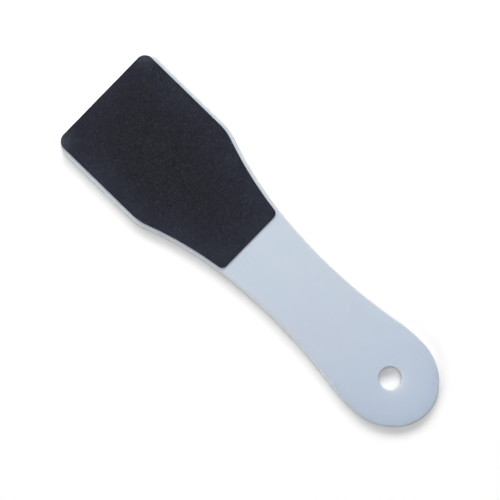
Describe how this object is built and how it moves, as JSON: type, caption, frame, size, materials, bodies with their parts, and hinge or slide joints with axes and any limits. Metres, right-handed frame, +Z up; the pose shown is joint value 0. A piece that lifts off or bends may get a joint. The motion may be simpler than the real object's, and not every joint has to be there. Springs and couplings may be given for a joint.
{
  "type": "foot file",
  "caption": "Flat foot file: plastic paddle with a broad square head, a waisted handle with a round end and a hang hole, and abrasive sheets glued on both faces of the head.",
  "frame": {"origin": "centre of the bounding box in plan, at the height of the fine abrasive face that the file lies on", "axes": "+X from the square tip to the round handle end, +Y across the head, +Z up through the coarse face"},
  "size_m": [0.19, 0.0556, 0.0043],
  "materials": {
    "plastic": "satin, pale blue-grey, faintly mottled",
    "adhesive": "clear, slightly yellow glue film",
    "backing_film": "matt black film",
    "bond_resin": "dark glossy resin",
    "coarse_grains": "coarse sharp mineral grains, near black with a blue cast",
    "fine_grains": "fine sharp mineral grains, near black with a blue cast"
  },
  "bodies": {
    "root": {"paddle": "plastic", "coarse_adhesive": "adhesive", "coarse_backing": "backing_film", "coarse_bond": "bond_resin", "coarse_grit": "coarse_grains", "fine_adhesive": "adhesive", "fine_backing": "backing_film", "fine_bond": "bond_resin", "fine_grit": "fine_grains"}
  },
  "joints": []
}
